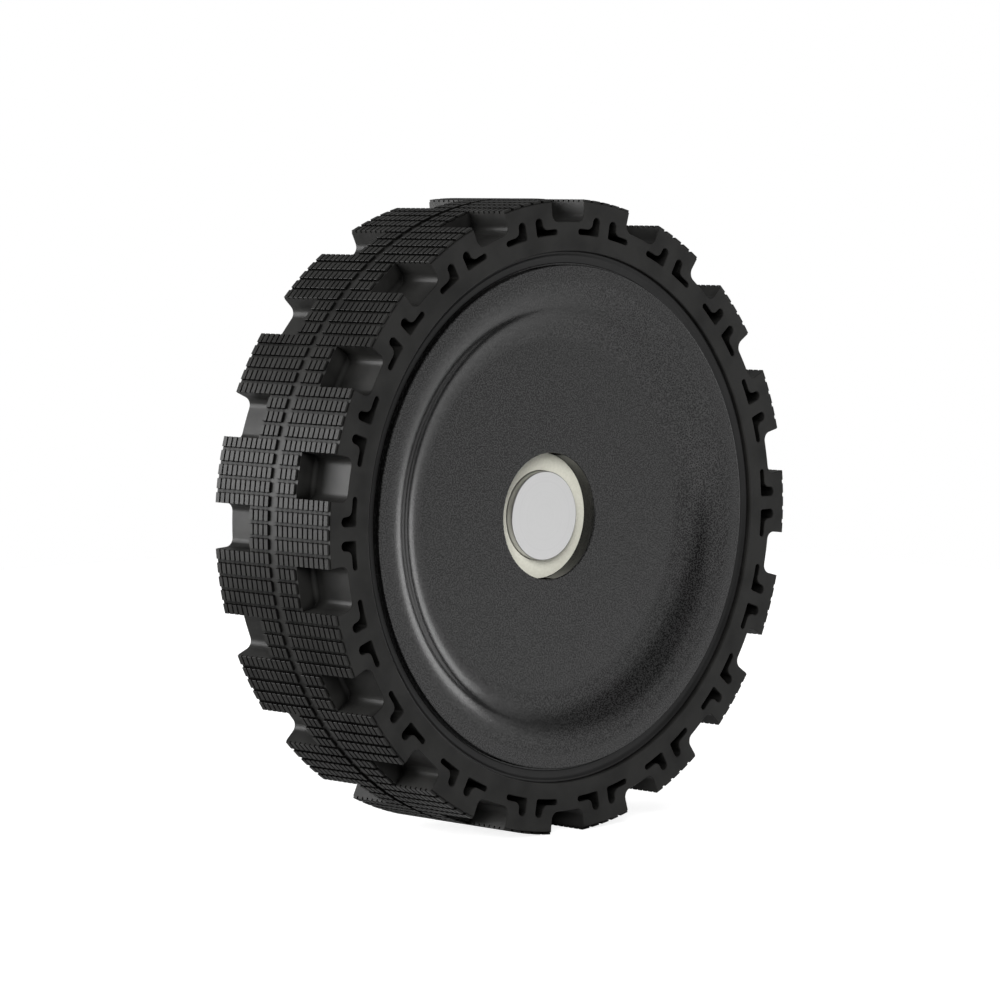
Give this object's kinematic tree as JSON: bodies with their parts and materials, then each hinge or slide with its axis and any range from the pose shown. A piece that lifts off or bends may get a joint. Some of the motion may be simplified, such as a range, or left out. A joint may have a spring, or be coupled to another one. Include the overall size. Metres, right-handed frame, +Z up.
{
  "type": "hub motor",
  "caption": "Single-sided wheel hub motor: lugged solid tyre on a dished hub, outer-rotor motor inside, hollow axle stub with flats at the rear.",
  "frame": {"origin": "on the spin axis, at the seat where the bracket's face meets the axle spacer", "axes": "+Y along the axle from the wheel towards the free end of the stub, so the dished front cover faces -Y; +Z up, +X to the right as seen from the front"},
  "size_m": [0.15, 0.074, 0.15],
  "materials": {
    "tyre_rubber": "matt moulded rubber",
    "black_paint": "smooth semi-gloss black paint",
    "grained_paint": "fine-grained black powder coat",
    "steel": "turned steel",
    "bright_steel": "fine-turned bright steel",
    "bearing_steel": "ground bearing steel",
    "magnet": "nickel-plated magnets",
    "lamination": "stacked steel laminations",
    "aluminium": "die-cast aluminium",
    "copper": "enamelled copper wire",
    "cage_brass": "pressed brass",
    "ivory_plastic": "ivory plastic",
    "black_plastic": "moulded sensor bodies",
    "board": "green circuit board",
    "seal_rubber": "soft black rubber"
  },
  "bodies": {
    "axle_assembly": {"axle": "steel", "axle_cap": "bright_steel", "axle_spacer": "steel", "axle_key": "steel", "cable_gland": "seal_rubber", "stator_hub": "aluminium", "stator_core": "lamination", "front_insulator": "ivory_plastic", "rear_insulator": "ivory_plastic", "stator_windings": "copper", "sensor_board": "board", "hall_sensors": "black_plastic", "board_screws": "steel", "front_bearing_inner": "bearing_steel", "rear_bearing_inner": "bearing_steel"},
    "wheel": {"tyre": "tyre_rubber", "rim": "black_paint", "flux_ring": "steel", "magnets": "magnet", "front_cover": "grained_paint", "rear_cover": "black_paint", "cover_gasket": "seal_rubber", "cover_screws": "steel", "front_seal": "ivory_plastic", "rear_seal": "seal_rubber", "front_bearing_outer": "bearing_steel", "rear_bearing_outer": "bearing_steel", "front_bearing_shields": "bearing_steel", "rear_bearing_shields": "bearing_steel"},
    "front_ball_set": {"front_bearing_balls": "bearing_steel", "front_bearing_cage": "cage_brass"},
    "rear_ball_set": {"rear_bearing_balls": "bearing_steel", "rear_bearing_cage": "cage_brass"}
  },
  "joints": [
    {"name": "wheel_spin", "type": "hinge", "parent": "axle_assembly", "child": "wheel", "pos_m": [0, -0.023, 0], "axis": [0, 1, 0], "continuous": true},
    {"name": "front_balls_roll", "type": "hinge", "parent": "axle_assembly", "child": "front_ball_set", "pos_m": [0, -0.0285, 0], "axis": [0, 1, 0], "continuous": true},
    {"name": "rear_balls_roll", "type": "hinge", "parent": "axle_assembly", "child": "rear_ball_set", "pos_m": [0, -0.0085, 0], "axis": [0, 1, 0], "continuous": true}
  ],
  "couplings": [
    {"joint": "front_balls_roll", "follows": "wheel_spin", "ratio": 0.583},
    {"joint": "rear_balls_roll", "follows": "wheel_spin", "ratio": 0.5673}
  ]
}
